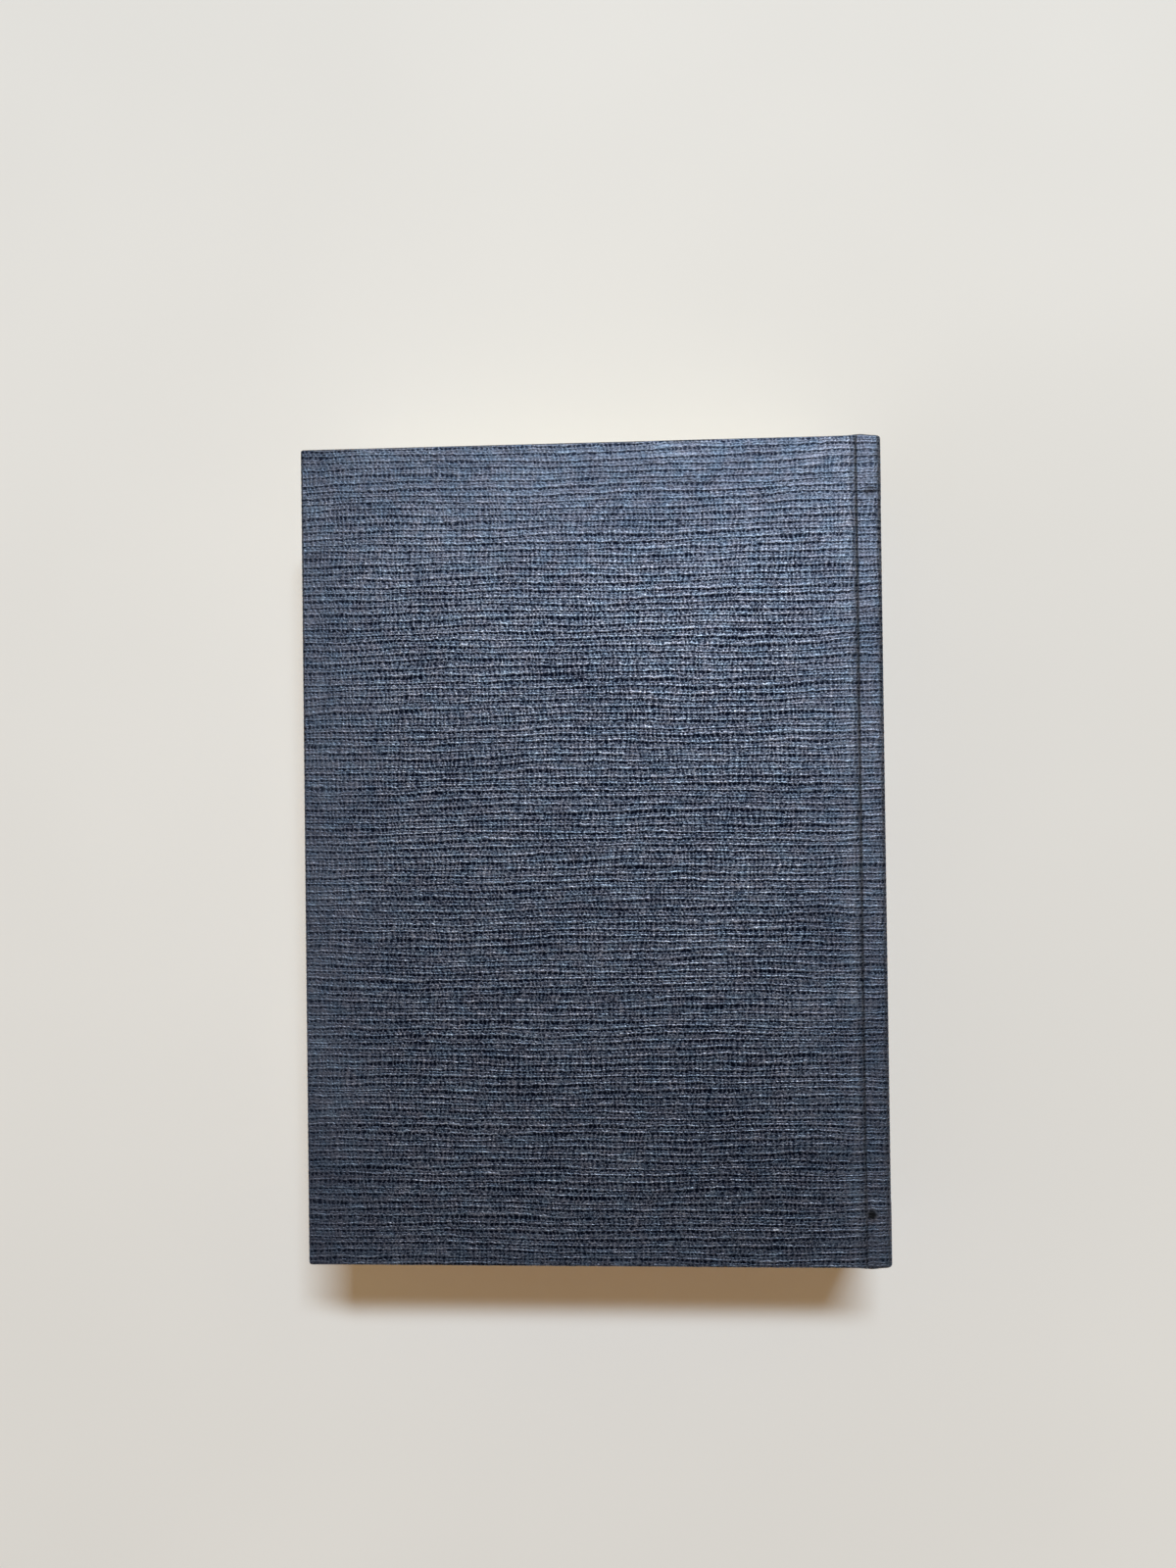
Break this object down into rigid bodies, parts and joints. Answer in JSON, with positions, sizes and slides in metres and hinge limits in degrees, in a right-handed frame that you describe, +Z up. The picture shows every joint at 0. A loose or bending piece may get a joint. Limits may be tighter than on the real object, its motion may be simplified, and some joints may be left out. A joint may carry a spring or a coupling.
{
  "type": "hardback journal",
  "caption": "Closed case-bound pocket journal in plain linen-look cloth, with two covers that hinge open at the joints.",
  "frame": {"origin": "on the table, under the middle of the closed book", "axes": "+Y along the spine, +X from the pages towards the spine, +Z up through the closed book"},
  "size_m": [0.109, 0.154, 0.0276],
  "materials": {
    "book_cloth": "matte linen-look weave, light threads over dark",
    "grey_board": "matte",
    "endpaper": "matte",
    "page_paper": "matte",
    "gauze": "open weave",
    "liner_paper": "matte kraft",
    "band_cloth": "striped cotton bead"
  },
  "bodies": {
    "book_block": {"text_block": "page_paper", "upper_flyleaf": "endpaper", "lower_flyleaf": "endpaper", "spine_mull": "gauze", "spine_liner": "liner_paper", "head_band": "band_cloth", "tail_band": "band_cloth", "spine_board": "grey_board", "spine_cloth": "book_cloth"},
    "upper_cover": {"upper_board": "grey_board", "upper_cloth": "book_cloth", "upper_pastedown": "endpaper"},
    "lower_cover": {"lower_board": "grey_board", "lower_cloth": "book_cloth", "lower_pastedown": "endpaper"}
  },
  "joints": [
    {"name": "upper_joint", "type": "hinge", "parent": "book_block", "child": "upper_cover", "pos_m": [0.0517, 0, 0.02436], "axis": [0, 1, 0], "range_deg": [0, 178]},
    {"name": "lower_joint", "type": "hinge", "parent": "book_block", "child": "lower_cover", "pos_m": [0.0517, 0, 0.0032], "axis": [0, -1, 0], "range_deg": [0, 178]}
  ]
}
